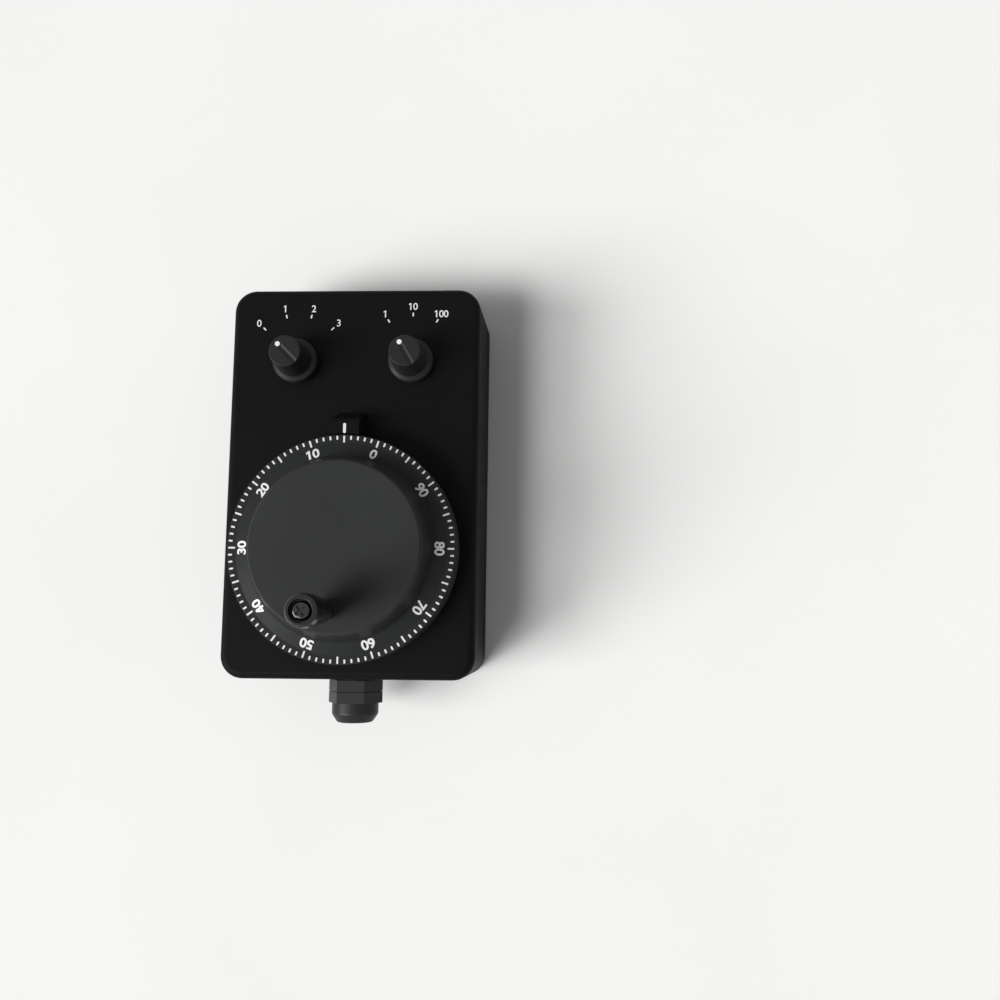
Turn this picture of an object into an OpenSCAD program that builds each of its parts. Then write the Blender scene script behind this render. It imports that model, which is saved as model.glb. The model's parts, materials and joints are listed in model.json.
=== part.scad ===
// Pendant manual pulse generator: a hand-held case with a 100-division dial, a crank grip that
// turns on its own spindle and two rotary selectors. It lies on its back. The origin is the centre
// of the flat rear face, +Z comes out of the panel and +Y runs from the dial to the selectors.

/* [Case] */
// Width of the case
case_w = 90; // [88:1:110]
// Length of the case, without the cable gland
case_l = 140; // [138:1:170]
// Depth of the case, from the rear face to the panel
case_h = 39; // [38:1:50]
// Thickness of the walls, the panel and the back
wall = 3; // [2.5:0.1:3.4]
// Radius of the four upright corners
corner_r = 8; // [6:0.5:12]
// Rounding of the edges round the panel and round the back
edge_r = 2.5; // [1:0.25:3]
// Depth of the rear cover
cover_h = 9; // [8:0.5:11]
// Height of the locating lip that stands in the front shell
lip_h = 3; // [2:0.5:4]
// Thickness of the locating lip
lip_t = 1.6; // [1.2:0.1:2]
// Thickness of the gasket between the two halves
gasket_t = 1; // [0.6:0.1:1.4]
// Distance that the gasket keeps back from the outer face
gasket_inset = 0.6; // [0.3:0.1:1]
// Thickness of the cross rib under the panel
rib_t = 2; // [1.5:0.1:3]
// Depth of the cross rib under the panel
rib_h = 8; // [4:1:12]

/* [Case screws] */
// Distance of each case screw from the two nearest outer faces
case_screw_in = 7.5; // [7:0.25:9]
// Thread diameter of the case screws
case_screw_d = 4; // [3:0.5:4]
// Height of the head of a case screw
case_head_h = 2.6; // [2:0.1:2.8]
// Diameter of the head of a case screw
case_head_d = 7.2; // [6.5:0.1:7.6]
// Diameter of the corner bosses
case_boss_d = 10; // [9.6:0.2:12]
// Outer diameter of the threaded inserts
insert_d = 5.6; // [5.2:0.1:6.4]
// Length of the threaded inserts
insert_l = 8; // [6:1:12]

/* [Dial] */
// Distance of the dial's axis from the end of the case that carries the gland
dial_end = 45; // [44:0.5:48]
// Outer diameter of the dial
dial_d = 78.6; // [77:0.2:80]
// Height of the dial's scale rim above the panel
rim_z = 12; // [11.5:0.5:15]
// Gap between the dial's skirt and the panel
skirt_gap = 1.3; // [0.8:0.1:2.5]
// Wall thickness of the dial
dial_wall = 2; // [1.6:0.1:2.2]
// Width of the flat scale rim
rim_w = 3; // [2.6:0.1:3.8]
// Width of the sloped band that carries the numerals
band_w = 4.7; // [4:0.1:5.2]
// Rise of the sloped band
band_h = 1.6; // [1.2:0.1:2.2]
// Diameter of the raised boss at its top edge
boss_d = 58; // [56:0.5:60]
// Height of the boss above the scale rim
boss_h = 10.2; // [9.8:0.2:13]
// Rounding of the boss's top edge
boss_edge_r = 0.8; // [0.4:0.1:1.2]
// Thickness of the cap that covers the boss
cap_t = 1.6; // [1.4:0.1:2]
// Height of the step that centres the cap in the boss
cap_step_h = 0.5; // [0.3:0.1:0.8]
// Width of the cap's edge outside that step
cap_edge = 1.4; // [1:0.1:1.8]
// Width of the notch in the cap's lower edge, for lifting the cap off
pry_w = 2.6; // [2:0.1:5]
// Height of that notch
pry_h = 0.8; // [0.6:0.1:1]
// Thickness of the web under the cap
web_t = 2; // [1.8:0.1:2.6]
// Number of stiffening ribs under the web
dial_ribs = 8; // [6:1:10]

/* [Crank] */
// Distance of the crank grip from the dial's axis
crank_r = 21.4; // [19.5:0.1:22]
// Direction of the crank grip at rest, in degrees counter-clockwise from +X
crank_dir = 264; // [250:1:280]
// Height of the grip
grip_h = 27.9; // [24:0.1:36]
// Diameter of the grip at its foot
grip_foot_d = 6.6; // [6.2:0.1:8]
// Largest diameter of the grip
grip_d = 10.9; // [10:0.1:13]
// Diameter of the flat ring at the grip's top
grip_top_d = 9.2; // [8.8:0.1:9.8]
// Depth of the recess for the spindle's head
grip_recess = 2.6; // [2.4:0.1:4]
// Diameter of the recess for the spindle's head
grip_recess_d = 7.3; // [7:0.1:7.6]
// Diameter of the plain spindle that the grip turns on
spindle_d = 4; // [3.6:0.1:4.4]
// Diameter of the spindle's pan head
spindle_head_d = 6.2; // [5.6:0.1:6.2]
// Height of the spindle's pan head
spindle_head_h = 2.1; // [1.6:0.1:2.4]
// Thread diameter at the spindle's foot
spindle_thread_d = 3; // [2.5:0.1:3.4]
// Length of the threaded insert that holds the spindle
crank_insert_l = 8; // [6:0.5:8.5]
// Thickness of the washer under the grip
crank_washer_t = 0.5; // [0.3:0.1:0.8]

/* [Index] */
// Width of the index block beyond the dial's edge
index_w = 10; // [8:0.5:16]
// Length of the index block, away from the dial
index_l = 10; // [7:0.5:14]
// Length of the flat top of the index block
index_top_l = 5; // [4:0.5:6.5]
// Gap between the index block and the dial's edge
index_gap = 0.4; // [0.35:0.05:1]

/* [Pulse generator] */
// Thickness of the flange
flange_t = 3; // [2.5:0.1:3.4]
// Diameter of the housing behind the panel
housing_d = 49.4; // [47:0.2:52]
// Wall thickness of the housing
housing_wall = 3; // [2.5:0.1:3.2]
// Depth of the housing below the panel
housing_depth = 27; // [27:0.5:28]
// Outer diameter of the bearing tube
tube_d = 24; // [22.5:0.5:25]
// Distance of the three fixing screws outside the housing
mount_out = 4.8; // [4.6:0.1:5.4]
// Distance of the flange's edge outside the fixing screws
flange_out = 4.5; // [4.2:0.1:5]
// Thread diameter of the fixing screws
mount_screw_d = 4; // [3:0.5:4]
// Thickness of the sealing ring under the flange
seal_t = 0.5; // [0.4:0.1:0.8]
// Thickness of the housing's rear cap
rear_cap_t = 2; // [1.6:0.1:2.4]
// Number of screw terminals on the rear cap
terminals = 5; // [4:1:6]
// Spacing of the screw terminals
terminal_pitch = 5; // [4.6:0.1:5.4]

/* [Shaft and bearings] */
// Diameter of the main shaft
shaft_d = 6; // [5.8:0.1:6.2]
// Diameter of the shaft's tail that carries the encoder discs
tail_d = 5; // [4.6:0.1:5.1]
// Outer diameter of the two ball bearings
bearing_d = 19; // [18:0.5:19.5]
// Width of each ball bearing
bearing_w = 6; // [5:0.5:6.5]
// Distance between the two ball bearings
bearing_gap = 7.5; // [6:0.5:8]
// Diameter of the bearing balls
ball_d = 3.2; // [2.8:0.1:3.4]
// Number of balls in each bearing
balls = 8; // [6:1:9]

/* [Encoder and click] */
// Divisions of the dial, teeth of the click rotor and slots of the code disc
divisions = 100; // [50:10:100]
// Room between the two discs and the housing's inner wall
disc_room = 6.2; // [5.8:0.1:7.2]
// Thickness of the code disc
disc_t = 0.4; // [0.3:0.1:0.6]
// Radial length of the code disc's slots
slot_l = 1.5; // [1:0.1:2]
// Thickness of the click rotor
rotor_t = 2.4; // [1.8:0.1:2.6]
// Height of the click rotor's teeth
tooth_h = 0.6; // [0.4:0.1:0.8]
// Air gap between the rotor's teeth and the pole shoes
air_gap = 0.35; // [0.3:0.05:0.5]
// Thickness of the sensor board
board_t = 1.6; // [1.2:0.1:1.8]

/* [Selectors] */
// Distance of each selector from the nearest long side of the case
selector_in = 24.2; // [23:0.2:27]
// Distance of the selectors from the other end of the case
selector_end = 27.2; // [20:0.2:29]
// Angle between two positions of a selector
step_deg = 30; // [20:5:30]
// Number of positions of the axis selector, on the left
axis_positions = 4; // [2:1:5]
// Number of positions of the rate selector, on the right
rate_positions = 3; // [2:1:5]
// Height of a knob's top face above the panel
knob_top = 16.2; // [15:0.2:20]
// Diameter of a knob's skirt
knob_skirt_d = 16; // [15.6:0.2:18]
// Diameter of a knob's top face
knob_d = 11; // [10.4:0.2:13]
// Width of the groove across a knob's face
groove_w = 2; // [1.4:0.1:2.4]
// Depth of the groove across a knob's face
groove_h = 0.3; // [0.2:0.05:0.6]
// Diameter of the white dot at the end of the groove
dot_d = 1.7; // [1.2:0.1:2]
// Distance of the dot from the knob's axis
dot_at = 3.5; // [3.2:0.1:4]
// Diameter of the selector shafts
selector_shaft_d = 6; // [5:0.1:6]
// Diameter of the threaded bushings through the panel
bushing_d = 8; // [7.8:0.1:8.2]
// Diameter of the switch bodies
switch_d = 24; // [22:0.5:26]
// Depth of the switch bodies behind the panel
switch_h = 12; // [10:0.5:16]

/* [Cable gland] */
// Height of the gland's axis above the rear face
gland_z = 22; // [21:0.5:24]
// Thread diameter of the gland in the wall
gland_thread_d = 12; // [11:0.5:12]
// Width across the flats of the gland's hexagons
gland_af = 17; // [16:0.5:18]
// Diameter of the cable that the seal grips
cable_d = 7; // [6:0.1:7.4]

/* [Clearances] */
// Radial clearance of pieces that are fitted and don't turn
fit = 0.03; // [0.02:0.01:0.05]
// Radial clearance of pieces that turn on each other
run_fit = 0.05; // [0.04:0.01:0.08]
// Radial clearance of screws in plain holes
hole_clr = 0.2; // [0.1:0.05:0.3]
// Gap between a turning piece and the fixed piece that it faces
face_gap = 0.1; // [0.05:0.05:0.3]

/* [Hidden] */

$fn = 64;
eps = 0.01;
// Cutting solids pass the faces that they cut by this much.
over = 1;
black = [0.09, 0.09, 0.1];
charcoal = [0.16, 0.16, 0.17];
steel = [0.72, 0.73, 0.75];
brass = [0.78, 0.62, 0.32];
alloy = [0.66, 0.67, 0.69];
rubber_black = [0.05, 0.05, 0.05];
nylon = [0.13, 0.13, 0.14];

// Levels along the dial's axis, from the panel down and up.
panel_z = case_h;
panel_in_z = panel_z - wall;
seam_z = cover_h + gasket_t;
flange_z = panel_z + seal_t;
flange_top = flange_z + flange_t;
tube_rise = 2.5;
tube_top = flange_top + tube_rise;
bearing_sink = 0.5;
front_bearing_z = tube_top - bearing_sink - bearing_w;
rear_bearing_z = front_bearing_z - bearing_gap - bearing_w;
tube_bottom = rear_bearing_z - 1;
housing_bottom = panel_z - housing_depth;
rim_top = panel_z + rim_z;
boss_top = rim_top + boss_h;
cap_bottom = boss_top - cap_t;
web_top = cap_bottom - cap_step_h;
web_bottom = web_top - web_t;
skirt_bottom = panel_z + skirt_gap;

// Shaft and discs.
collar_d = 8.8;
collar_h = 1.5;
collar_z = front_bearing_z + bearing_w;
hub_bottom = collar_z + collar_h;
circlip_t = 0.8;
circlip_w = 1.8;
circlip_deg = 300;
circlip_z = rear_bearing_z - circlip_t;
groove_depth = 0.4;
tail_z = circlip_z - groove_depth;
rotor_z = tail_z - rotor_t;
board_gap = 2;
board_z = housing_bottom + board_gap;
board_top = board_z + board_t;
disc_nut_t = 1.8;
disc_nut_gap = 0.3;
disc_z = board_top + disc_nut_gap + disc_nut_t;
shaft_bottom = board_top - face_gap;
hub_seat_h = 1.5;
hub_seat_z = web_bottom - hub_seat_h;
shaft_top = hub_seat_z - hole_clr;

// Places across the dial.
dial_off = case_l / 2 - dial_end;
dial_r = dial_d / 2;
boss_r = boss_d / 2;
band_r = dial_r - rim_w - band_w;
band_top = rim_top + band_h;
seam_r = boss_r + (band_r - boss_r) * cap_t / (boss_top - band_top);
cap_step_r = seam_r - cap_edge;
pry_dir = crank_dir + 8;
housing_in_r = housing_d / 2 - housing_wall;
mount_r = housing_d / 2 + mount_out;
flange_r = mount_r + flange_out;
disc_r = housing_in_r - disc_room;
post_d = 5.2;
post_r = housing_in_r - post_d / 2 - hole_clr;
post_dirs = [90, 210, 330];
pole_dirs = [30, 150];
sensor_dirs = [250, 290];
pole_deg = 20;
pole_back_r = (disc_r + air_gap + housing_in_r) / 2;
board_screw_d = 2.5;
board_hole_r = 7;
crank_pos = [crank_r * cos(crank_dir), crank_r * sin(crank_dir)];
hub_screw_r = 9.3;
hub_screw_d = 2.5;
hub_screw_head_d = 4.8;
spigot_d = 12;
hub_tube_d = 14;
hub_flange_d = 25;
hub_flange_t = 3;
hub_seat_r = 4.3;
hub_head_h = 1.2;
dial_screw_d = 3;
dial_screw_l = 8;
dial_washer_t = 0.6;

// Crank, from the cap's face up.
grip_z = boss_top + crank_washer_t + face_gap;
grip_top = grip_z + grip_h;
head_z = grip_top - grip_recess + face_gap;
crank_insert_d = 5.6;
crank_boss_wall = 2.2;
crank_boss_floor = 1.5;
cross_turn = 38;

// Selectors.
axis_rest = step_deg * (axis_positions - 1) / 2;
rate_rest = step_deg * (rate_positions - 1) / 2;
selector_x = case_w / 2 - selector_in;
selector_y = case_l / 2 - selector_end;
switch_washer_t = 0.6;
switch_nut_t = 2.2;
switch_nut_af = 11;
bushing_out = 0.4;
switch_step = 1.5;
switch_floor = 3;
switch_pins = 12;
pin_w = 0.8;
pin_l = 3.5;
knob_bottom = 1;
knob_roof = 3;
knob_skirt_h = 3;
knob_neck = 0.8;
knob_recess_gap = 0.5;
knob_recess_d = switch_nut_af / cos(30) + 2 * knob_recess_gap;
knob_recess_top = switch_washer_t + switch_nut_t + bushing_out + knob_recess_gap;
shaft_flat = 0.5;
knob_screw_d = 3;
knob_screw_l = 3;
knob_screw_z = (knob_recess_top + knob_top - knob_roof) / 2;
dot_depth = 0.8;
dot_out = 0.1;

// Gland, along its own axis from the outer end of the case.
gland_washer_t = 0.8;
gland_hex_t = 4;
gland_front = gland_washer_t + gland_hex_t;
gland_front_d = gland_thread_d + 1.4;
gland_front_l = 6;
locknut_t = 3.5;
gland_tail = 1.5;
gland_lip = 1.3;
gland_pocket = 1;
gland_bore_d = cable_d + 1.2;
seal_bore_l = 7;
gland_nut_l = 11;
gland_nut_gap = 0.2;

// Points of an arc that rounds the corner b between a and c with radius r.
function unit(v) = v / norm(v);
function round_at(a, b, c, r, n) =
    let (u = unit(a - b), v = unit(c - b), half = acos(u * v) / 2,
         o = b + unit(u + v) * r / sin(half),
         p = b + u * r / tan(half) - o, q = b + v * r / tan(half) - o,
         a0 = atan2(p.y, p.x), turn = atan2(q.y, q.x) - a0,
         sweep = turn > 180 ? turn - 360 : turn < -180 ? turn + 360 : turn)
    [for (i = [0:n]) o + r * [cos(a0 + sweep * i / n), sin(a0 + sweep * i / n)]];

// Closed outline with each corner [x, y, r] rounded by its own radius r, where it has one.
function rounded(v, n = 6) =
    let (k = len(v), xy = [for (p = v) [p.x, p.y]])
    [for (i = [0:k - 1]) each (len(v[i]) > 2 && v[i][2] > 0)
        ? round_at(xy[(i + k - 1) % k], xy[i], xy[(i + 1) % k], v[i][2], n) : [xy[i]]];

// Outline of a disc with square teeth.
function toothed(n, r_root, r_tip) =
    [for (i = [0:n - 1], t = [[0, r_root], [0, r_tip], [0.5, r_tip], [0.5, r_root]])
        let (a = (i + t[0]) * 360 / n) t[1] * [cos(a), sin(a)]];

module turned(outline) rotate_extrude() polygon(outline);

module ring(r_in, r_out, h) difference() {
    cylinder(r = r_out, h = h);
    translate([0, 0, -eps]) cylinder(r = r_in, h = h + 2 * eps);
}

// Bore along +Z through a piece of height h that stands on the origin.
module through(d, h) translate([0, 0, -over]) cylinder(d = d, h = h + 2 * over);

module sector(r_in, r_out, a, h)
    rotate([0, 0, -a / 2]) rotate_extrude(angle = a) translate([r_in, 0]) square([r_out - r_in, h]);

module hex(af, h) cylinder(d = af / cos(30), h = h, $fn = 6);

module rounded_plate(w, l, r, h) linear_extrude(h) {
    square([w - 2 * r, l], center = true);
    square([w, l - 2 * r], center = true);
    for (x = [-1, 1], y = [-1, 1]) translate([x * (w / 2 - r), y * (l / 2 - r)]) circle(r = r);
}

// Block with rounded upright corners and a rounded edge at its top.
module case_block(h) hull()
    for (x = [-1, 1], y = [-1, 1])
        translate([x * (case_w / 2 - corner_r), y * (case_l / 2 - corner_r), 0])
            rotate_extrude($fn = 64)
                polygon(rounded([[0, 0], [corner_r, 0], [corner_r, h, edge_r], [0, h]]));

module at_dial(z = 0) translate([0, -dial_off, z]) children();
module at_crank(z = 0) at_dial(z) translate(crank_pos) children();
module at_corners(z = 0)
    for (x = [-1, 1], y = [-1, 1])
        translate([x * (case_w / 2 - case_screw_in), y * (case_l / 2 - case_screw_in), z]) children();
module at_mount_screws(z = 0)
    at_dial(z) for (a = post_dirs) rotate([0, 0, a]) translate([mount_r, 0, 0]) children();
module at_posts(z = 0)
    at_dial(z) for (a = post_dirs) rotate([0, 0, a]) translate([post_r, 0, 0]) children();
module at_selector(side, z = 0, turn = 0)
    translate([side * selector_x, selector_y, z]) rotate([0, 0, turn]) children();
module along_gland(s = 0)
    translate([0, -case_l / 2 - s, gland_z]) rotate([90, 0, 0]) children();

// Case: front shell with the panel, the index block and the corner bosses.
screw_spare = 5;

module front_shell() color(black) difference() {
    union() {
        difference() {
            translate([0, 0, seam_z]) case_block(panel_z - seam_z);
            translate([0, 0, seam_z - eps])
                rounded_plate(case_w - 2 * wall, case_l - 2 * wall, corner_r - wall,
                              panel_in_z - seam_z + eps);
        }
        index_block();
        at_corners(seam_z) cylinder(d = case_boss_d, h = panel_in_z - seam_z + eps);
        translate([-case_w / 2 + wall / 2, dial_r - dial_off, panel_in_z - rib_h])
            cube([case_w - wall, rib_t, rib_h + eps]);
    }
    at_dial(panel_in_z - rib_h) through(housing_d + 2 * hole_clr, wall + rib_h);
    at_mount_screws(panel_in_z) through(mount_screw_d + 2 * hole_clr, wall);
    for (side = [-1, 1]) at_selector(side, panel_in_z) through(bushing_d + 2 * hole_clr, wall);
    at_corners(seam_z - eps) {
        cylinder(d = insert_d + 2 * fit, h = insert_l + eps);
        cylinder(d = case_screw_d + 2 * hole_clr, h = insert_l + screw_spare);
    }
    along_gland(-wall) through(gland_thread_d + 2 * hole_clr, wall);
}

// Block beside the dial's edge that carries the index line, level with the scale rim.
index_edge_r = 1.5;
index_under = 3;

module index_block() {
    y0 = dial_r + index_gap - dial_off;
    difference() {
        intersection() {
            translate([-index_w / 2, 0, 0]) rotate([90, 0, 90]) linear_extrude(index_w)
                polygon(rounded([[y0 - index_under, panel_z - over], [y0 - index_under, rim_top],
                                 [y0 + index_top_l, rim_top, index_edge_r],
                                 [y0 + index_l - over, panel_z + over, 1],
                                 [y0 + index_l, panel_z - over]]));
            translate([0, y0 + index_l / 2, panel_z - over])
                rounded_plate(index_w, index_l + 2 * index_under, index_edge_r, rim_z + 2 * over);
        }
        at_dial(panel_z) cylinder(r = dial_r + index_gap, h = rim_z + over);
    }
}

module rear_cover() color(black) difference() {
    lip_out = wall + hole_clr;
    lip_in = lip_out + lip_t;
    union() {
        difference() {
            union() {
                translate([0, 0, cover_h]) mirror([0, 0, 1]) case_block(cover_h);
                translate([0, 0, cover_h - over])
                    rounded_plate(case_w - 2 * lip_out, case_l - 2 * lip_out, corner_r - lip_out,
                                  lip_h + over);
            }
            translate([0, 0, wall])
                rounded_plate(case_w - 2 * lip_in, case_l - 2 * lip_in, corner_r - lip_in,
                              cover_h + lip_h);
            at_corners(cover_h) cylinder(d = case_boss_d + 4 * hole_clr, h = lip_h + over);
        }
        at_corners(wall - eps) cylinder(d = case_boss_d, h = cover_h - wall + eps);
    }
    at_corners(-eps) {
        cylinder(d = case_head_d + 2 * hole_clr, h = wall + 2 * eps);
        cylinder(d = case_screw_d + 2 * hole_clr, h = cover_h + over);
    }
}

module case_gasket() color(rubber_black) translate([0, 0, cover_h]) difference() {
    union() {
        difference() {
            rounded_plate(case_w - 2 * gasket_inset, case_l - 2 * gasket_inset,
                          corner_r - gasket_inset, gasket_t);
            translate([0, 0, -eps])
                rounded_plate(case_w - 2 * wall, case_l - 2 * wall, corner_r - wall,
                              gasket_t + 2 * eps);
        }
        intersection() {
            at_corners() cylinder(d = case_boss_d, h = gasket_t);
            rounded_plate(case_w - 2 * gasket_inset, case_l - 2 * gasket_inset,
                          corner_r - gasket_inset, gasket_t);
        }
    }
    at_corners() through(case_screw_d + 2 * hole_clr, gasket_t);
}

module case_inserts() color(brass)
    at_corners(seam_z) ring(case_screw_d / 2 + fit, insert_d / 2, insert_l);

module pan_screw(d, l, head_d, head_h) {
    cylinder(d = d, h = l + eps);
    translate([0, 0, l]) difference() {
        turned(rounded([[0, 0], [head_d / 2, 0], [head_d / 2, head_h, head_h * 0.6], [0, head_h]]));
        for (a = [0, 90]) rotate([0, 0, a]) translate([-head_d * 0.3, -head_d * 0.07, head_h * 0.45])
            cube([head_d * 0.6, head_d * 0.14, head_h]);
    }
}

module case_screws() color(steel)
    at_corners(wall) mirror([0, 0, 1]) translate([0, 0, -cover_h - insert_l])
        pan_screw(case_screw_d, cover_h + insert_l, case_head_d, case_head_h);

// Pulse generator: fixed parts.
tube_foot = 3;
tube_rim = 1;
bearing_shoulder = 1.2;
cap_screw_l = 12;
cap_screw_z = housing_bottom - rear_cap_t * 0.4;
cap_hole_spare = 2;
cap_hole_l = cap_screw_z + cap_screw_l - board_top + cap_hole_spare;
post_rib_t = 3;

module mpg_housing() color(alloy) difference() {
    bore_r = bearing_d / 2 + fit;
    shoulder_r = bearing_d / 2 - bearing_shoulder;
    union() {
        at_dial() turned(rounded([
            [bore_r, tube_bottom], [tube_d / 2, tube_bottom],
            [tube_d / 2, panel_z, 1], [housing_in_r, panel_z, 1],
            [housing_in_r, housing_bottom], [housing_d / 2, housing_bottom],
            [housing_d / 2, flange_z], [flange_r, flange_z],
            [flange_r, flange_top, 0.5], [tube_d / 2 + tube_foot, flange_top, 1],
            [tube_d / 2 + tube_rim, tube_top, 0.3], [bore_r, tube_top],
            [bore_r, front_bearing_z], [shoulder_r, front_bearing_z],
            [shoulder_r, rear_bearing_z + bearing_w], [bore_r, rear_bearing_z + bearing_w]]));
        at_posts(board_top) {
            cylinder(d = post_d, h = panel_z - board_top + over);
            translate([0, -post_rib_t / 2, 0])
                cube([post_d / 2 + over, post_rib_t, panel_z - board_top + over]);
        }
    }
    at_mount_screws(flange_z) through(mount_screw_d + 2 * hole_clr, flange_t);
    at_posts(board_top - eps) cylinder(d = board_screw_d + 2 * fit, h = cap_hole_l);
}

module mpg_seal_ring() color(rubber_black) difference() {
    at_dial(panel_z) ring(housing_d / 2 + hole_clr, flange_r - 0.5, seal_t);
    at_mount_screws(panel_z) through(mount_screw_d + 2 * hole_clr, seal_t);
}

mount_nut_t = 3.2;
mount_nut_af = mount_screw_d * 1.75;
mount_head_h = 2.4;
mount_out_l = 1;
mount_grip = wall + seal_t + flange_t;

module mpg_screws() color(steel) {
    l = mount_grip + mount_nut_t + mount_out_l;
    at_mount_screws(flange_top - l) pan_screw(mount_screw_d, l, mount_nut_af, mount_head_h);
}

module mpg_nuts() color(steel)
    at_mount_screws(panel_in_z - mount_nut_t) difference() {
        hex(mount_nut_af, mount_nut_t);
        through(mount_screw_d + 2 * fit, mount_nut_t);
    }

// Ball bearings: grooved rings and balls, the same pair at both ends of the tube.
ball_circle_r = (bearing_d + shaft_d) / 4;
groove_r = ball_d / 2 + 0.08;
land = ball_d * 0.42;

module at_bearings() for (z = [rear_bearing_z, front_bearing_z]) at_dial(z) children();

module grooved_ring(r_in, r_out) rotate_extrude() difference() {
    translate([r_in, 0]) square([r_out - r_in, bearing_w]);
    translate([ball_circle_r, bearing_w / 2]) circle(r = groove_r);
}

module bearing_outer_rings() color(steel)
    at_bearings() grooved_ring(ball_circle_r + land, bearing_d / 2);

module bearing_inner_rings() color(steel)
    at_bearings() grooved_ring(shaft_d / 2 + fit, ball_circle_r - land);

module bearing_balls() color(steel)
    at_bearings() for (i = [0:balls - 1])
        rotate([0, 0, i * 360 / balls]) translate([ball_circle_r, 0, bearing_w / 2])
            sphere(d = ball_d);

spacer_t = 1.6;

module bearing_spacer() color(steel)
    at_dial(rear_bearing_z + bearing_w) ring(shaft_d / 2 + fit, shaft_d / 2 + spacer_t, bearing_gap);

// Magnetic click: toothed pole shoes with magnets behind them face the toothed rotor.
module click_poles() color(steel) {
    r_face = disc_r + air_gap;
    pitch = 360 / divisions;
    steps = floor(pole_deg / pitch);
    at_dial(rotor_z) for (a = pole_dirs) rotate([0, 0, a - steps * pitch / 2])
        linear_extrude(rotor_t) polygon(concat(
            [for (i = [0:steps - 1], t = [[0, r_face], [0.5, r_face],
                                          [0.5, r_face + tooth_h], [1, r_face + tooth_h]])
                let (b = (i + t[0]) * pitch) t[1] * [cos(b), sin(b)]],
            [for (i = [steps:-1:0]) let (b = pitch * i) pole_back_r * [cos(b), sin(b)]]));
}

module click_magnets() color(charcoal)
    at_dial(rotor_z) for (a = pole_dirs) rotate([0, 0, a])
        sector(pole_back_r, housing_in_r - fit, pole_deg, rotor_t);

module sensor_board() color([0.1, 0.32, 0.2]) difference() {
    at_dial(board_z) ring(board_hole_r, housing_in_r - hole_clr, board_t);
    at_posts(board_z) through(board_screw_d + 2 * hole_clr, board_t);
}

// Forked light barriers that straddle the rim of the code disc.
fork_w = 5;
fork_slot_h = 2;
fork_reach = 3;
fork_back = 1.7;
fork_wall_gap = 1.2;
fork_top_gap = 0.6;

module photo_sensors() color(charcoal) {
    fork_in = disc_r - fork_reach;
    fork_l = housing_in_r - fork_wall_gap - fork_in;
    slot_z = disc_z + disc_t / 2 - board_top - fork_slot_h / 2;
    at_dial(board_top) for (a = sensor_dirs) rotate([0, 0, a]) translate([fork_in, 0, 0]) difference() {
        translate([0, -fork_w / 2, 0]) cube([fork_l, fork_w, rotor_z - board_top - fork_top_gap]);
        translate([-over, -fork_w / 2 - over, slot_z])
            cube([fork_reach + fork_back + over, fork_w + 2 * over, fork_slot_h]);
    }
}

// Rear cap with its spigot, its three pegs under the board and the slot for the board's wires.
cap_spigot = 1.4;
peg_d = post_d - hole_clr;
wire_slot = [16, 3];
wire_slot_y = 14;

module mpg_rear_cap() color(nylon) difference() {
    cap_z = housing_bottom - rear_cap_t;
    union() {
        at_dial(cap_z) cylinder(d = housing_d, h = rear_cap_t);
        at_dial(housing_bottom - eps)
            ring(housing_in_r - cap_spigot, housing_in_r - hole_clr, cap_spigot);
        at_posts(housing_bottom - eps) cylinder(d = peg_d, h = board_gap + eps);
    }
    at_posts(cap_z) {
        through(board_screw_d + 2 * hole_clr, rear_cap_t + board_gap);
        translate([0, 0, -eps]) cylinder(d = peg_d, h = cap_screw_z - cap_z + eps);
    }
    at_dial(cap_z - over) translate([-wire_slot.x / 2, -wire_slot_y, 0])
        cube([wire_slot.x, wire_slot.y, rear_cap_t + cap_spigot + 2 * over]);
}

cap_head_d = post_d - 4 * hole_clr;
cap_head_h = rear_cap_t * 0.55;

module rear_cap_screws() color(steel)
    at_posts(cap_screw_z + cap_screw_l) mirror([0, 0, 1])
        pan_screw(board_screw_d, cap_screw_l, cap_head_d, cap_head_h);

terminal_l = (terminals + 0.4) * terminal_pitch;
terminal_w = 9;
terminal_h = 5.4;
terminal_z = housing_bottom - rear_cap_t - terminal_h;
terminal_screw_d = 3;
terminal_screw_h = 2.6;
terminal_sink = 0.4;
terminal_slot = [0.6, 0.7];
wire_entry = [3, 3, 3.5];

module at_terminals(z = 0)
    at_dial(z) for (i = [0:terminals - 1])
        translate([(i - (terminals - 1) / 2) * terminal_pitch, 0, 0]) children();

module terminal_block() color(nylon) difference() {
    at_dial(terminal_z) translate([-terminal_l / 2, -terminal_w / 2, 0])
        cube([terminal_l, terminal_w, terminal_h]);
    at_terminals(terminal_z - eps) {
        cylinder(d = terminal_screw_d + 2 * hole_clr, h = terminal_sink + terminal_screw_h);
        translate([-wire_entry.x / 2, -terminal_w / 2 - eps, -eps])
            cube([wire_entry.x, wire_entry.y, wire_entry.z]);
    }
}

module terminal_screws() color(brass)
    at_terminals(terminal_z + terminal_sink) difference() {
        cylinder(d = terminal_screw_d, h = terminal_screw_h - eps);
        translate([-terminal_screw_d, -terminal_slot.x / 2, -over])
            cube([2 * terminal_screw_d, terminal_slot.x, over + terminal_slot.y]);
    }

// Dial: wheel, hub, cap and shaft.
dial_rib_t = 1.6;
dial_rib_h = 4;
dial_fillet = 1.5;
rib_r = hub_flange_d / 2 + 1;

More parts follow.
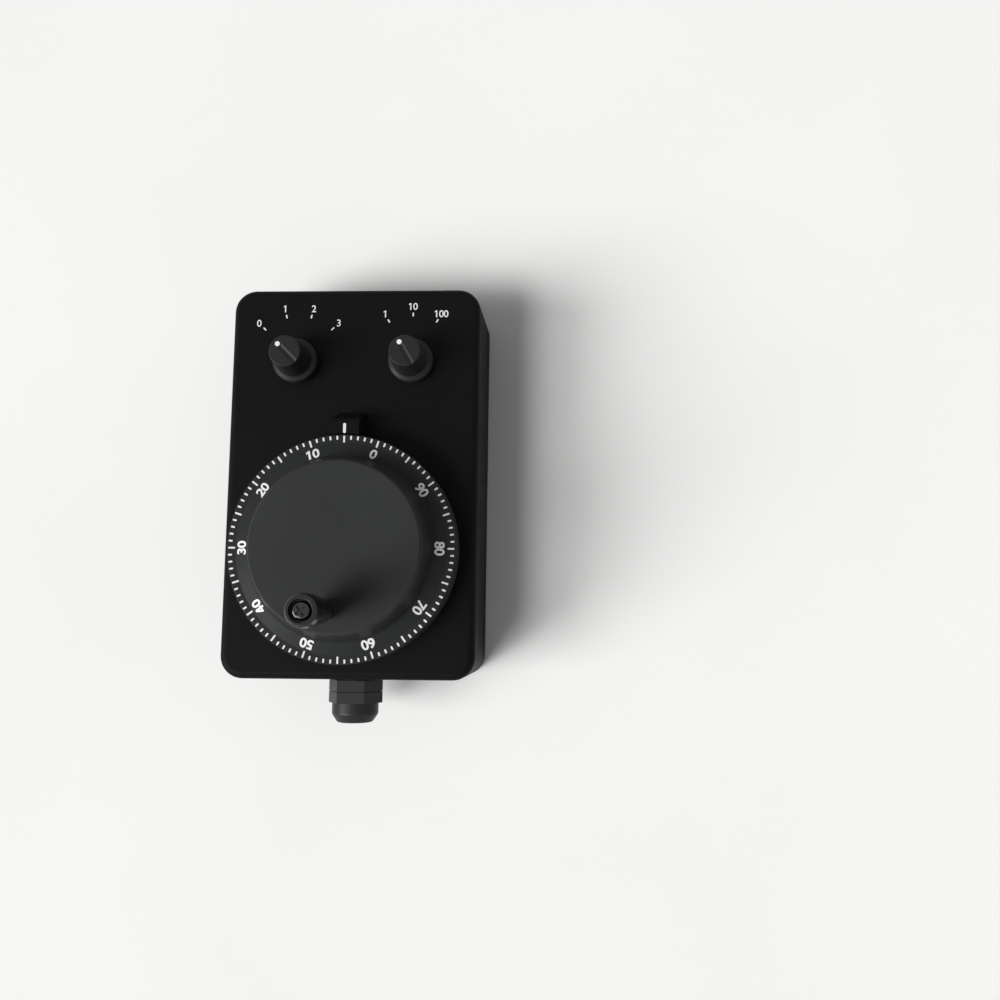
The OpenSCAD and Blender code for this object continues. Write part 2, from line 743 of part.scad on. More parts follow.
module dial_wheel() color(charcoal) difference() {
    union() {
        at_dial() turned(rounded([
            [dial_r - dial_wall, skirt_bottom, 0.3], [dial_r, skirt_bottom, 0.3],
            [dial_r, rim_top, 0.3], [dial_r - rim_w, rim_top, 0.4],
            [band_r, band_top, 1.4], [seam_r, cap_bottom],
            [cap_step_r + fit, cap_bottom], [cap_step_r + fit, web_top],
            [spigot_d / 2 + fit, web_top], [spigot_d / 2 + fit, web_bottom],
            [boss_r - dial_wall, web_bottom, dial_fillet],
            [band_r - 1.3 * dial_wall, band_top - 1.2 * dial_wall, 1],
            [dial_r - rim_w - 0.15 * dial_wall, rim_top - dial_wall, 0.8],
            [dial_r - dial_wall, rim_top - dial_wall, 0.6]]));
        at_crank(web_top - crank_insert_l - crank_boss_floor)
            cylinder(d = crank_insert_d + 2 * crank_boss_wall, h = crank_insert_l);
        at_dial(web_bottom - dial_rib_h) for (i = [0:dial_ribs - 1])
            rotate([0, 0, crank_dir + i * 360 / dial_ribs]) translate([rib_r, -dial_rib_t / 2, 0])
                cube([boss_r - dial_wall + 0.5 - rib_r, dial_rib_t, dial_rib_h + eps]);
    }
    at_crank(web_top - crank_insert_l) cylinder(d = crank_insert_d + 2 * fit, h = crank_insert_l + over);
    at_hub_screws(web_bottom) {
        through(hub_screw_d + 2 * hole_clr, web_t);
        translate([0, 0, web_t - hub_head_h])
            cylinder(d1 = hub_screw_d + 2 * hole_clr, d2 = hub_screw_head_d + 2 * hole_clr,
                     h = hub_head_h + eps);
    }
}

module at_hub_screws(z)
    at_dial(z) for (a = [0, 120, 240])
        rotate([0, 0, crank_dir + 60 + a]) translate([hub_screw_r, 0, 0]) children();

module dial_hub() color(alloy) difference() {
    spigot_top = web_top - face_gap;
    flange_foot = web_bottom - hub_flange_t;
    at_dial() turned(rounded([
        [shaft_d / 2 + fit, hub_bottom], [hub_tube_d / 2, hub_bottom, 0.3],
        [hub_tube_d / 2, flange_foot, 0.8], [hub_flange_d / 2, flange_foot, 0.3],
        [hub_flange_d / 2, web_bottom], [spigot_d / 2, web_bottom],
        [spigot_d / 2, spigot_top, 0.2], [hub_seat_r, spigot_top], [hub_seat_r, hub_seat_z],
        [shaft_d / 2 + fit, hub_seat_z]]));
    at_hub_screws(flange_foot) through(hub_screw_d + 2 * fit, hub_flange_t);
}

// Countersunk screws, a little short of the hub's flange and sunk below the top of the web.
module dial_hub_screws() color(steel) {
    sink = face_gap;
    l = hub_flange_t + web_t - 3 * sink;
    slot = [hub_screw_head_d * 0.54, hub_screw_head_d * 0.13];
    at_hub_screws(web_top - sink - l) difference() {
        union() {
            cylinder(d = hub_screw_d, h = l - hub_head_h + eps);
            translate([0, 0, l - hub_head_h])
                cylinder(d1 = hub_screw_d, d2 = hub_screw_head_d, h = hub_head_h);
        }
        for (a = [0, 90]) rotate([0, 0, a])
            translate([-slot.x / 2, -slot.y / 2, l - hub_head_h / 2]) cube([slot.x, slot.y, hub_head_h]);
    }
}

// Cap over the whole boss, centred by a step and held by the crank.
module dial_cap() color(charcoal) difference() {
    at_dial() turned(rounded([[0, web_top], [cap_step_r, web_top], [cap_step_r, cap_bottom],
                              [seam_r, cap_bottom], [boss_r, boss_top, boss_edge_r], [0, boss_top]]));
    at_crank(web_top) through(spindle_d + 2 * hole_clr, boss_top - web_top);
    at_dial(cap_bottom - over) rotate([0, 0, pry_dir])
        translate([seam_r - cap_edge / 2, -pry_w / 2, 0]) cube([cap_edge, pry_w, over + pry_h]);
}

module dial_washer() color(steel)
    at_dial(hub_seat_z) ring(dial_screw_d / 2 + hole_clr, hub_seat_r - hole_clr, dial_washer_t);

module dial_screw() color(steel)
    at_dial(hub_seat_z + dial_washer_t - dial_screw_l)
        pan_screw(dial_screw_d, dial_screw_l, dial_screw_d * 1.8, dial_screw_d * 0.6);

module main_shaft() color(steel) difference() {
    groove_r = shaft_d / 2 - groove_depth;
    at_dial() turned([
        [0, shaft_bottom], [tail_d / 2, shaft_bottom], [tail_d / 2, tail_z], [shaft_d / 2, tail_z],
        [shaft_d / 2, circlip_z - fit], [groove_r, circlip_z - fit],
        [groove_r, circlip_z + circlip_t], [shaft_d / 2, circlip_z + circlip_t],
        [shaft_d / 2, collar_z], [collar_d / 2, collar_z], [collar_d / 2, collar_z + collar_h],
        [shaft_d / 2, collar_z + collar_h], [shaft_d / 2, shaft_top], [0, shaft_top]]);
    at_dial(hub_seat_z + dial_washer_t - dial_screw_l)
        through(dial_screw_d + 2 * fit, dial_screw_l);
}

module shaft_circlip() color(steel)
    at_dial(circlip_z) rotate([0, 0, 90])
        sector(shaft_d / 2 - groove_depth + fit, shaft_d / 2 - groove_depth + circlip_w,
               circlip_deg, circlip_t);

module click_rotor() color(steel) at_dial(rotor_z) difference() {
    linear_extrude(rotor_t) polygon(toothed(divisions, disc_r - tooth_h, disc_r));
    through(tail_d + 2 * fit, rotor_t);
    for (i = [0:5]) rotate([0, 0, i * 60]) translate([disc_r * 0.6, 0, 0])
        through(disc_r * 0.32, rotor_t);
}

disc_spacer_t = 2;

module disc_spacer() color(brass)
    at_dial(disc_z + disc_t)
        ring(tail_d / 2 + fit, tail_d / 2 + disc_spacer_t, rotor_z - disc_z - disc_t);

module code_disc() color(steel) at_dial(disc_z) difference() {
    linear_extrude(disc_t) polygon(toothed(divisions, disc_r - slot_l, disc_r));
    through(tail_d + 2 * fit, disc_t);
}

module disc_nut() color(brass) at_dial(disc_z - disc_nut_t) difference() {
    hex(tail_d * 1.6, disc_nut_t);
    through(tail_d + 2 * fit, disc_nut_t);
}

// Crank: insert, spindle screw, washer and the turning grip.
module crank_insert() color(brass)
    at_crank(web_top - crank_insert_l)
        ring(spindle_thread_d / 2 + fit, crank_insert_d / 2, crank_insert_l);

module crank_spindle() color(steel) {
    at_crank(web_top - crank_insert_l + crank_washer_t)
        cylinder(d = spindle_thread_d, h = crank_insert_l - crank_washer_t + eps);
    at_crank(web_top) rotate([0, 0, cross_turn])
        pan_screw(spindle_d, head_z - web_top, spindle_head_d, spindle_head_h);
}

module crank_washer() color(steel)
    at_crank(boss_top)
        ring(spindle_d / 2 + hole_clr / 2, grip_foot_d / 2 - hole_clr, crank_washer_t);

module crank_grip() color(black) {
    foot = grip_foot_d / 2;
    big = grip_d / 2;
    rim = grip_top_d / 2;
    bore = spindle_d / 2 + run_fit;
    recess = grip_h - grip_recess;
    at_crank(grip_z) turned(rounded([
        [bore, 0], [foot, 0, 0.3], [foot * 1.08, grip_h * 0.055],
        [foot + (big - foot) * 0.55, grip_h * 0.3, grip_h * 0.5],
        [big - 0.1, grip_h * 0.7, grip_h * 0.7], [big, grip_h * 0.86, grip_h * 0.11],
        [(big + rim) / 2, grip_h - grip_recess * 0.2, 0.6], [rim, grip_h, 0.3],
        [grip_recess_d / 2, grip_h, 0.2], [grip_recess_d / 2, recess], [bore, recess]]));
}

// Selectors: rotary switch with its bushing, washer and nut, then shaft and knob.
module switch_body(side) color(nylon) at_selector(side, panel_in_z) difference() {
    union() {
        translate([0, 0, -switch_h]) cylinder(d = switch_d, h = switch_h - switch_step);
        translate([0, 0, -switch_step - eps]) cylinder(d = switch_d * 0.75, h = switch_step + eps);
        translate([0, 0, -over])
            cylinder(d = bushing_d, h = over + wall + switch_washer_t + switch_nut_t + bushing_out);
        for (i = [0:switch_pins - 1]) rotate([0, 0, i * 360 / switch_pins])
            translate([switch_d * 0.38, -pin_w / 2, -switch_h - pin_l])
                cube([pin_w, pin_w, pin_l + eps]);
    }
    translate([0, 0, -switch_h + switch_floor])
        cylinder(d = selector_shaft_d + 2 * run_fit, h = switch_h + wall + knob_recess_top);
}

module switch_washer(side) color(steel)
    at_selector(side, panel_z)
        ring(bushing_d / 2 + hole_clr / 2, switch_nut_af / 2 + face_gap, switch_washer_t);

module switch_nut(side) color(steel)
    at_selector(side, panel_z + switch_washer_t) difference() {
        hex(switch_nut_af, switch_nut_t);
        through(bushing_d + 2 * fit, switch_nut_t);
    }

// Removes what lies beyond the shaft's flat, set out by clr, up to the height h.
module flat_side(clr, h)
    translate([-selector_shaft_d, selector_shaft_d / 2 - shaft_flat + clr, 0])
        cube([2 * selector_shaft_d, selector_shaft_d, h]);

module selector_shaft(side, turn) color(steel)
    at_selector(side, panel_z, turn) difference() {
        shaft_z = switch_floor + face_gap - switch_h - wall;
        translate([0, 0, shaft_z]) cylinder(d = selector_shaft_d, h = knob_top - knob_roof - shaft_z);
        translate([0, 0, knob_recess_top]) flat_side(0, knob_top);
    }

// Knob with a skirt, a groove across its face and a dimple for the dot at the groove's end.
module knob(side, turn) color(black) at_selector(side, panel_z, turn) difference() {
    turned(rounded([
        [0, knob_bottom], [knob_skirt_d / 2 - 0.4, knob_bottom],
        [knob_skirt_d / 2, knob_bottom + 0.4], [knob_skirt_d / 2, knob_bottom + knob_skirt_h, 0.5],
        [knob_d / 2 + knob_neck, knob_bottom + knob_skirt_h + 1, 0.8],
        [knob_d / 2, knob_top, 0.5], [0, knob_top]], 4));
    translate([0, dot_at, knob_top]) rotate([90, 0, 0]) linear_extrude(dot_at + knob_d)
        polygon([[-groove_w / 2, eps], [-groove_w / 6, -groove_h], [groove_w / 6, -groove_h],
                 [groove_w / 2, eps]]);
    cylinder(d = knob_recess_d, h = knob_recess_top);
    difference() {
        cylinder(d = selector_shaft_d + 2 * fit, h = knob_top - knob_roof + 2 * fit);
        translate([0, 0, knob_recess_top + face_gap]) flat_side(fit, knob_top);
    }
    translate([0, 0, knob_screw_z]) rotate([-90, 0, 0]) cylinder(d = knob_screw_d + 2 * fit, h = knob_d);
    translate([0, dot_at, knob_top - dot_depth]) cylinder(d = dot_d + 2 * fit, h = dot_depth + over);
}

module knob_screw(side, turn) color(steel) at_selector(side, panel_z + knob_screw_z, turn)
    translate([0, selector_shaft_d / 2 - shaft_flat, 0]) rotate([-90, 0, 0]) difference() {
        cylinder(d = knob_screw_d, h = knob_screw_l);
        translate([0, 0, knob_screw_l / 2]) hex(knob_screw_d / 2, knob_screw_l);
    }

module knob_dot(side, turn) color("white") at_selector(side, panel_z + knob_top - dot_depth, turn)
    translate([0, dot_at, 0]) cylinder(d = dot_d, h = dot_depth + dot_out);

module axis_switch() switch_body(-1);
module axis_switch_washer() switch_washer(-1);
module axis_switch_nut() switch_nut(-1);
module axis_shaft() selector_shaft(-1, axis_rest);
module axis_knob() knob(-1, axis_rest);
module axis_knob_screw() knob_screw(-1, axis_rest);
module axis_knob_dot() knob_dot(-1, axis_rest);
module rate_switch() switch_body(1);
module rate_switch_washer() switch_washer(1);
module rate_switch_nut() switch_nut(1);
module rate_shaft() selector_shaft(1, rate_rest);
module rate_knob() knob(1, rate_rest);
module rate_knob_screw() knob_screw(1, rate_rest);
module rate_knob_dot() knob_dot(1, rate_rest);

// Cable gland through the end wall.
pocket_d = gland_front_d - 2 * gland_lip;
dome_h = 3;

module gland_body() color(black) along_gland() difference() {
    tail = wall + locknut_t + gland_tail;
    union() {
        translate([0, 0, -tail]) cylinder(d = gland_thread_d, h = tail + gland_washer_t + eps);
        translate([0, 0, gland_washer_t]) hex(gland_af, gland_hex_t);
        translate([0, 0, gland_front - eps]) cylinder(d = gland_front_d, h = gland_front_l + eps);
    }
    translate([0, 0, -tail]) through(gland_bore_d, tail + gland_front);
    translate([0, 0, gland_front - gland_pocket])
        cylinder(d = pocket_d, h = gland_pocket + gland_front_l + over);
}

module gland_washer() color(rubber_black)
    along_gland() ring(gland_thread_d / 2 + hole_clr, gland_af / 2 - hole_clr, gland_washer_t);

module gland_locknut() color(black) along_gland(-wall - locknut_t) difference() {
    hex(gland_af, locknut_t);
    through(gland_thread_d + 2 * fit, locknut_t);
}

module gland_seal() color(rubber_black)
    along_gland(gland_front - gland_pocket) ring(cable_d / 2, pocket_d / 2 - fit, seal_bore_l);

module gland_nut() color(black) along_gland(gland_front + gland_nut_gap) difference() {
    dome_r = gland_af / 2 - hole_clr;
    union() {
        hex(gland_af, gland_hex_t);
        turned(rounded([[0, 0], [dome_r, 0], [dome_r, gland_nut_l - dome_h, 2],
                        [gland_front_d / 2 - 0.4, gland_nut_l, 1.2], [0, gland_nut_l]]));
    }
    translate([0, 0, -over]) cylinder(d = gland_front_d + 2 * fit, h = gland_front_l + over + hole_clr);
    through(gland_bore_d, gland_nut_l);
}

front_shell();
rear_cover();
case_gasket();
case_inserts();
case_screws();
mpg_housing();
mpg_seal_ring();
mpg_screws();
mpg_nuts();
bearing_outer_rings();
bearing_balls();
click_poles();
click_magnets();
sensor_board();
photo_sensors();
mpg_rear_cap();
rear_cap_screws();
terminal_block();
terminal_screws();
dial_wheel();
dial_hub();
dial_hub_screws();
dial_cap();
dial_screw();
dial_washer();
main_shaft();
bearing_inner_rings();
bearing_spacer();
shaft_circlip();
click_rotor();
disc_spacer();
code_disc();
disc_nut();
crank_insert();
crank_spindle();
crank_washer();
crank_grip();
axis_switch();
axis_switch_washer();
axis_switch_nut();
axis_shaft();
axis_knob();
axis_knob_screw();
axis_knob_dot();
rate_switch();
rate_switch_washer();
rate_switch_nut();
rate_shaft();
rate_knob();
rate_knob_screw();
rate_knob_dot();
gland_body();
gland_washer();
gland_locknut();
gland_seal();
gland_nut();
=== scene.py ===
"""Looks of the pendant manual pulse generator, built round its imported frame.

Blender adds the printed marks, the finishes, the floor, the light and the camera. Lengths are in
metres, in the frame's own axes: +Z out of the panel, +Y from the dial to the selectors.
"""

import json
import math

import bmesh
import bpy
from mathutils import Matrix, Vector


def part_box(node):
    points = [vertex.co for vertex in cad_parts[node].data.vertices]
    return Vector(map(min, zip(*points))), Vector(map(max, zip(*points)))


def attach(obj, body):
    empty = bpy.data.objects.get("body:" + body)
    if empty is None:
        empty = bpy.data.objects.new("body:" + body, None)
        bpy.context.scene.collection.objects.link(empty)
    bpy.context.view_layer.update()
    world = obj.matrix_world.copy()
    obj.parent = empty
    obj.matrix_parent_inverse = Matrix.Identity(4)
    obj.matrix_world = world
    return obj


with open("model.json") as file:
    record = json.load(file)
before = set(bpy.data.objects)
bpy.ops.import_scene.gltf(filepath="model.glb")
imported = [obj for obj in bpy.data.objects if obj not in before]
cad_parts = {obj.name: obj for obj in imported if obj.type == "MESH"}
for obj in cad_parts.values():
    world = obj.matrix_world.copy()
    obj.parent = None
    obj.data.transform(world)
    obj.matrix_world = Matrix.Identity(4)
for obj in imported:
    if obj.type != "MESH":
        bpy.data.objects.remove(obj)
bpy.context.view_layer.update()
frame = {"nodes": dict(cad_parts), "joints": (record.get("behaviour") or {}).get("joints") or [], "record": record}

MM = 0.001
joint_at = {j["name"]: Vector(j["pos_m"]) for j in frame["joints"]}
dial_axis = joint_at["dial_turn"]
rim_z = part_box("front_shell")[1].z      # the index block's top is level with the scale rim
panel_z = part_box("axis_switch_washer")[0].z
dial_r = (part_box("dial_wheel")[1].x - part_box("dial_wheel")[0].x) / 2


# ---------------------------------------------------------------- materials

def new_material(name):
    """A material with its shader and a coordinate node that follows the object."""
    m = bpy.data.materials.new(name)
    m.use_nodes = True
    tree = m.node_tree
    shader = tree.nodes["Principled BSDF"]
    coords = tree.nodes.new("ShaderNodeTexCoord").outputs["Object"]
    return m, tree, shader, coords


def noise(tree, coords, per_metre, detail=4.0, stretch=None):
    """A noise texture with that many features in a metre, stretched along some axes if asked."""
    if stretch:
        mapping = tree.nodes.new("ShaderNodeMapping")
        mapping.inputs["Scale"].default_value = stretch
        tree.links.new(coords, mapping.inputs["Vector"])
        coords = mapping.outputs["Vector"]
    n = tree.nodes.new("ShaderNodeTexNoise")
    n.inputs["Scale"].default_value = per_metre
    n.inputs["Detail"].default_value = detail
    tree.links.new(coords, n.inputs["Vector"])
    return n.outputs["Fac"]


def spread(tree, value, low, high):
    """Maps the range that a noise texture mostly takes to low..high."""
    r = tree.nodes.new("ShaderNodeMapRange")
    r.inputs["From Min"].default_value = 0.3
    r.inputs["From Max"].default_value = 0.7
    r.inputs["To Min"].default_value = low
    r.inputs["To Max"].default_value = high
    tree.links.new(value, r.inputs["Value"])
    return r.outputs["Result"]


def blend(tree, texture, a, b):
    """A colour that changes from a to b with a texture."""
    mix = tree.nodes.new("ShaderNodeMix")
    mix.data_type = "RGBA"
    tree.links.new(spread(tree, texture, 0, 1), mix.inputs["Factor"])
    mix.inputs[6].default_value = (*a, 1)
    mix.inputs[7].default_value = (*b, 1)
    return mix.outputs[2]


def bump(tree, shader, height, depth):
    """Gives a shader relief of that depth in metres."""
    b = tree.nodes.new("ShaderNodeBump")
    b.inputs["Distance"].default_value = depth
    tree.links.new(height, b.inputs["Height"])
    tree.links.new(b.outputs["Normal"], shader.inputs["Normal"])


def shade(colour, factor):
    return tuple(value * factor for value in colour)


def plastic(name, colour, rough, grain_per_m, grain_depth, specular):
    """Moulded plastic: a fine grain, with slow changes of tone and gloss."""
    m, tree, shader, coords = new_material(name)
    tone = blend(tree, noise(tree, coords, 45), shade(colour, 0.91), shade(colour, 1.09))
    gloss = spread(tree, noise(tree, coords, 120), rough - 0.03, rough + 0.04)
    tree.links.new(tone, shader.inputs["Base Color"])
    tree.links.new(gloss, shader.inputs["Roughness"])
    shader.inputs["Specular IOR Level"].default_value = specular
    bump(tree, shader, noise(tree, coords, grain_per_m, 2.0), grain_depth)
    return m


METAL_GRAIN_PER_M = 2500
METAL_GRAIN_DEPTH = 0.004 * MM
TOOL_LINES = (1, 1, 0.04)               # stretches the grain of turned metal along Z


def metal(name, colour, rough, stretch=None):
    """Machined or plated metal: tool lines or a fine grain, with slow changes of tone and gloss."""
    m, tree, shader, coords = new_material(name)
    shader.inputs["Metallic"].default_value = 1.0
    tone = blend(tree, noise(tree, coords, 220), shade(colour, 0.88), shade(colour, 1.08))
    gloss = spread(tree, noise(tree, coords, 400), rough - 0.06, rough + 0.08)
    tree.links.new(tone, shader.inputs["Base Color"])
    tree.links.new(gloss, shader.inputs["Roughness"])
    grain = noise(tree, coords, METAL_GRAIN_PER_M, 2.0, stretch)
    bump(tree, shader, grain, METAL_GRAIN_DEPTH)
    return m


# Plastics: colour, roughness, grains in a metre, their depth, specular level.
# Metals: colour, roughness and, if turned, the stretch of their grain.
materials = {
    "case_plastic":
        plastic("moulded_case", (0.0035, 0.0035, 0.0037), 0.5, 2600, 0.02 * MM, 0.055),
    # One charcoal finish in two copies: the dial wheel's is darker, painted shade for its shaded side, and the
    # cap's is lighter, painted light for its lit top.
    "dial_finish":
        plastic("charcoal_dial_painted_shade", (0.0225, 0.0235, 0.0240), 0.40, 3400, 0.006 * MM, 0.06),
    "cap_finish":
        plastic("charcoal_cap_painted_light", (0.033, 0.034, 0.034), 0.42, 3400, 0.006 * MM, 0.06),
    "grip_plastic":
        plastic("smooth_black_grip", (0.0035, 0.0035, 0.0036), 0.22, 3000, 0.002 * MM, 0.34),
    "knob_plastic":
        plastic("satin_black_knob", (0.0165, 0.0165, 0.0172), 0.40, 3200, 0.008 * MM, 0.12),
    "white_marks": plastic("white_paint", (0.80, 0.80, 0.78), 0.45, 5000, 0.004 * MM, 0.4),
    "rubber": plastic("soft_rubber", (0.014, 0.014, 0.014), 0.75, 1800, 0.02 * MM, 0.2),
    "nylon": plastic("moulded_nylon", (0.013, 0.013, 0.014), 0.4, 2400, 0.012 * MM, 0.2),
    "circuit_board": plastic("solder_mask", (0.02, 0.11, 0.05), 0.35, 1500, 0.01 * MM, 0.5),
    "ferrite": plastic("pressed_ferrite", (0.04, 0.04, 0.043), 0.6, 2600, 0.02 * MM, 0.4),
    "steel": metal("zinc_plated_steel", (0.42, 0.43, 0.45), 0.3),
    # Plated steel with a dark colour: a painted dark reflection, standing for the dark surroundings that its screw
    # heads reflect.
    "black_steel": metal("steel_painted_dark_reflection", (0.045, 0.045, 0.046), 0.12),
    "bearing_steel": metal("polished_steel", (0.60, 0.61, 0.63), 0.16, TOOL_LINES),
    "magnet_steel": metal("etched_steel", (0.42, 0.43, 0.45), 0.35),
    "brass": metal("turned_brass", (0.62, 0.43, 0.17), 0.3, TOOL_LINES),
    "alloy": metal("die_cast_alloy", (0.52, 0.53, 0.55), 0.45),
}

for part in frame["record"]["subparts"]:
    slots = frame["nodes"][part["node"]].data.materials
    slots.clear()
    slots.append(materials[part["material_slot"]])


# ---------------------------------------------------------------- printed marks

PAINT = 0.03 * MM                       # how far paint stands out of its surface and reaches in

DIVISIONS = 100
TURNED = -5                             # divisions by which the dial stands past its zero
MARK_W = 0.62 * MM
MARK_OUT, MARK_IN, LONG_MARK_IN = 38.9 * MM, 37.5 * MM, 36.45 * MM
BAND_IN, BAND_OUT, BAND_RISE = 31.6 * MM, 36.3 * MM, 1.6 * MM
NUMERAL_R, NUMERAL_H, NUMERAL_BOLD, NUMERAL_WIDENING = 33.9 * MM, 3.4 * MM, 0.13 * MM, 1.05

INDEX_W, INDEX_GAP, INDEX_L = 1.0 * MM, 0.5 * MM, 3.5 * MM

SELECTOR_STEP = 30                      # degrees between two positions
SELECTOR_BAR_W, SELECTOR_BAR_IN, SELECTOR_BAR_OUT = 0.5 * MM, 16.9 * MM, 18.3 * MM
SELECTOR_TEXT_R, SELECTOR_TEXT_H, SELECTOR_TEXT_BOLD = 20.6 * MM, 2.6 * MM, 0.03 * MM

# Two figures have outlines of their own: a one with a flag, and a four whose eye stays open.
# Outer outlines run counter-clockwise and eyes clockwise, in heights of the line.
OWN_DIGITS = {
    "1": [((0.28, 0), (0.42, 0), (0.42, 0.947), (0.31, 0.947), (0.10, 0.83), (0.10, 0.69),
           (0.28, 0.79))],
    "4": [((0.37, 0), (0.50, 0), (0.50, 0.22), (0.60, 0.22), (0.60, 0.34), (0.50, 0.34),
           (0.50, 0.947), (0.35, 0.947), (0.02, 0.34), (0.02, 0.22), (0.37, 0.22)),
          ((0.37, 0.34), (0.14, 0.34), (0.37, 0.77))],
}
DIGIT_PITCH = 0.66                      # in heights of the line
FONT_DIGIT_H = 0.72                     # a digit's height in the font, in sizes of the font


def add_piece(name, bm, body, slot="white_marks"):
    """Makes a piece that rides on a body and takes a slot's finish."""
    mesh = bpy.data.meshes.new(name)
    bm.to_mesh(mesh)
    mesh.materials.append(materials[slot])
    piece = bpy.data.objects.new(name, mesh)
    bpy.context.scene.collection.objects.link(piece)
    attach(piece, body)


def around(centre, z, degrees):
    """Places +Y outwards at an angle counter-clockwise from the row's +Y, at that height."""
    return (Matrix.Translation((centre.x, centre.y, z))
            @ Matrix.Rotation(math.radians(degrees), 4, "Z"))


def add_bar(bm, place, width, start, end):
    """A printed bar along +Y from start to end, with cut corners, put in place by a matrix."""
    w, c = width / 2, width * 0.3
    outline = [(-w, start + c), (-w + c, start), (w - c, start), (w, start + c),
               (w, end - c), (w - c, end), (-w + c, end), (-w, end - c)]
    back, face = [[bm.verts.new(place @ Vector((x, y, z))) for x, y in outline]
                  for z in (-PAINT, PAINT)]
    bm.faces.new(reversed(back))
    bm.faces.new(face)
    for i in range(len(outline)):
        j = (i + 1) % len(outline)
        bm.faces.new((back[i], back[j], face[j], face[i]))


def digit_curve(digit, height):
    """The outline of one digit, standing on the X axis."""
    if digit not in OWN_DIGITS:
        curve = bpy.data.curves.new("digit", "FONT")
        curve.body = digit
        curve.size = height / FONT_DIGIT_H
        return curve
    curve = bpy.data.curves.new("digit", "CURVE")
    curve.dimensions = "2D"
    curve.fill_mode = "BOTH"
    for outline in OWN_DIGITS[digit]:
        spline = curve.splines.new("POLY")
        spline.points.add(len(outline) - 1)
        spline.use_cyclic_u = True
        for point, (x, y) in zip(spline.points, outline):
            point.co = (x * height, y * height, 0, 1)
    return curve


def curve_mesh(curve):
    """The mesh that a curve makes."""
    maker = bpy.data.objects.new("digit", curve)
    bpy.context.scene.collection.objects.link(maker)
    bpy.context.view_layer.update()
    graph = bpy.context.evaluated_depsgraph_get()
    mesh = bpy.data.meshes.new_from_object(maker.evaluated_get(graph))
    bpy.data.objects.remove(maker)
    return mesh


def text_mesh(text, height, boldness, widening=1.0):
    """The mesh of a line of digits, centred on the origin in X and Y, with its face up."""
    bm = bmesh.new()
    for i, digit in enumerate(text):
        curve = digit_curve(digit, height)
        curve.offset = boldness
        curve.extrude = PAINT
        curve.resolution_u = 6
        mesh = curve_mesh(curve)
        mesh.transform(Matrix.Translation((i * DIGIT_PITCH * height, 0, 0)))
        bm.from_mesh(mesh)
        bpy.data.meshes.remove(mesh)
    mesh = bpy.data.meshes.new("digits")
    bm.to_mesh(mesh)
    xs = [v.co.x for v in mesh.vertices]
    ys = [v.co.y for v in mesh.vertices]
    middle = Vector(((max(xs) + min(xs)) / 2, (max(ys) + min(ys)) / 2, 0))
    mesh.transform(Matrix.Diagonal((widening, 1, 1, 1)) @ Matrix.Translation(-middle))
    return mesh


def dial_angle(value):
    """Angle of a scale value, in degrees counter-clockwise from the index."""
    return 360 * (value + TURNED) / DIVISIONS


def make_scale_marks():
    bm = bmesh.new()
    for value in range(DIVISIONS):
        start = LONG_MARK_IN if value % 5 == 0 else MARK_IN
        add_bar(bm, around(dial_axis, rim_z, dial_angle(value)), MARK_W, start, MARK_OUT)
    add_piece("scale_marks", bm, "dial")


def make_numerals():
    """Numerals 0 to 90, tops outwards, laid on the sloped band."""
    slope = math.atan2(BAND_RISE, BAND_OUT - BAND_IN)
    height = rim_z + (BAND_OUT - NUMERAL_R) * math.tan(slope)
    bm = bmesh.new()
    for value in range(0, DIVISIONS, 10):
        mesh = text_mesh(str(value), NUMERAL_H, NUMERAL_BOLD, NUMERAL_WIDENING)
        place = (around(dial_axis, height, dial_angle(value))
                 @ Matrix.Translation((0, NUMERAL_R, 0)) @ Matrix.Rotation(-slope, 4, "X"))
        for v in mesh.vertices:
            sag = NUMERAL_R - math.sqrt(NUMERAL_R ** 2 - v.co.x ** 2)
            v.co = place @ (v.co - Vector((0, 0, sag * math.sin(slope))))
        bm.from_mesh(mesh)
        bpy.data.meshes.remove(mesh)
    add_piece("scale_numerals", bm, "dial")


def make_index_line():
    bm = bmesh.new()
    start = dial_r + INDEX_GAP
    add_bar(bm, around(dial_axis, rim_z, 0), INDEX_W, start, start + INDEX_L)
    add_piece("index_line", bm, "root")


def make_selector_marks(name, joint, numbers):
    """A short bar and a plain number on the panel at each position of a selector."""
    bm = bmesh.new()
    for i, number in enumerate(numbers):
        angle = SELECTOR_STEP * ((len(numbers) - 1) / 2 - i)
        place = around(joint_at[joint], panel_z, angle)
        add_bar(bm, place, SELECTOR_BAR_W, SELECTOR_BAR_IN, SELECTOR_BAR_OUT)
        mesh = text_mesh(number, SELECTOR_TEXT_H, SELECTOR_TEXT_BOLD)
        mesh.transform(Matrix.Translation(place @ Vector((0, SELECTOR_TEXT_R, 0))))
        bm.from_mesh(mesh)
        bpy.data.meshes.remove(mesh)
    add_piece(name, bm, "root")


make_scale_marks()
make_numerals()
make_index_line()
make_selector_marks("axis_marks", "axis_select", ["0", "1", "2", "3"])
make_selector_marks("rate_marks", "rate_select", ["1", "10", "100"])


# ---------------------------------------------------------------- floor, light and camera

FLOOR_HALF = 4.0
FLOOR_DROP = 0.02 * MM                  # keeps the floor's face off the case's
WORLD_LIGHT = 0.20                      # the world's strength where it lights a surface

CAMERA_FROM_DIAL = Vector((83.2, -21.7, 337.0)) * MM
CAMERA_FORWARD = Vector((-0.0415, 0.1133, -0.9927))
CAMERA_UP = Vector((-0.0033, 0.9935, 0.1135))


def add_object(name, data):
    o = bpy.data.objects.new(name, data)
    bpy.context.scene.collection.objects.link(o)
    return o


